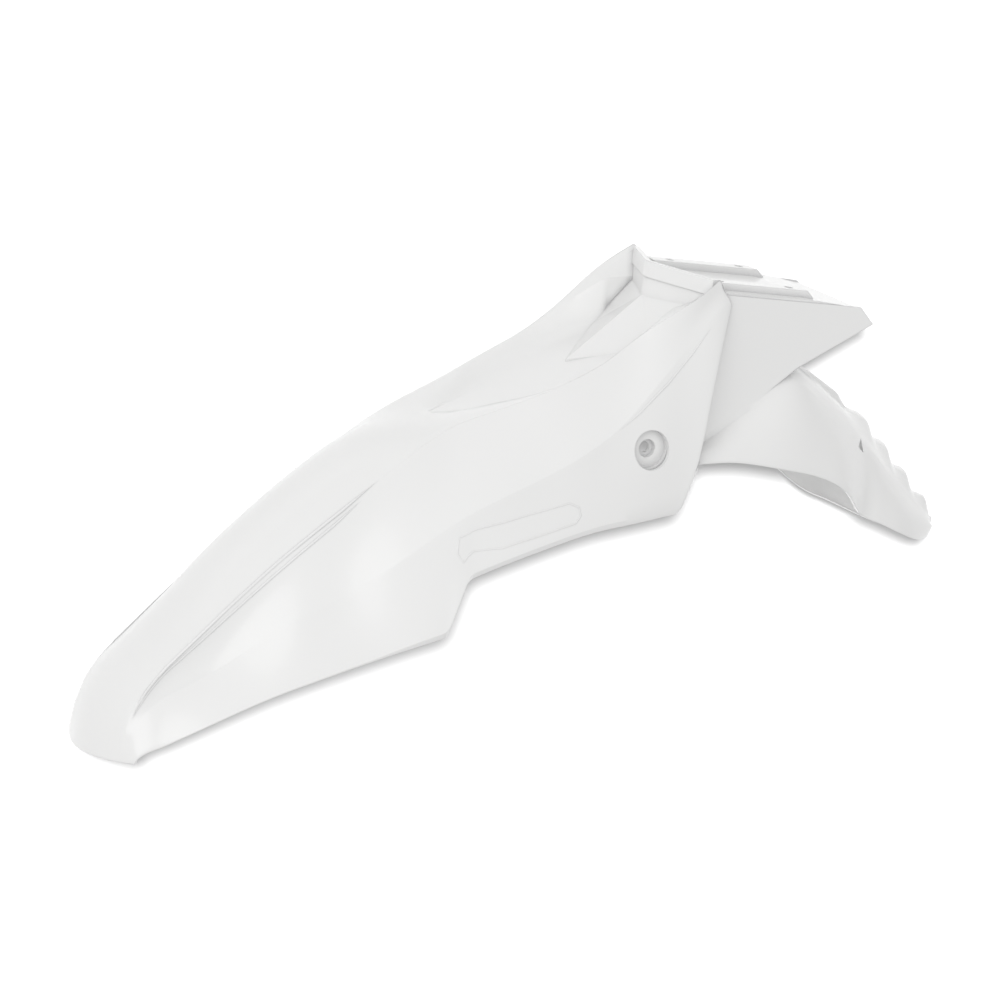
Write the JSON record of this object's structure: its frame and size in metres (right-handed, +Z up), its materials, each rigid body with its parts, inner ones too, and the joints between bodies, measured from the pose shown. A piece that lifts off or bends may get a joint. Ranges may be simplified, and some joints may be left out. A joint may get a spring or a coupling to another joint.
{
  "type": "motorcycle front fender",
  "caption": "One-piece moulded front fender with a beak, a boxed bolt-down deck, fork-side wings, a stepped tail and two recessed side bolt holes.",
  "frame": {"origin": "centre of the four deck bolt holes, level with the tops of the two deck rails that meet the fork clamp", "axes": "+X forward to the beak's tip, +Y to the rider's left, +Z up out of the deck"},
  "size_m": [0.6849, 0.2046, 0.4005],
  "materials": {
    "shell": "white gloss moulded polypropylene"
  },
  "bodies": {
    "root": {"front_fender": "shell"}
  },
  "joints": []
}
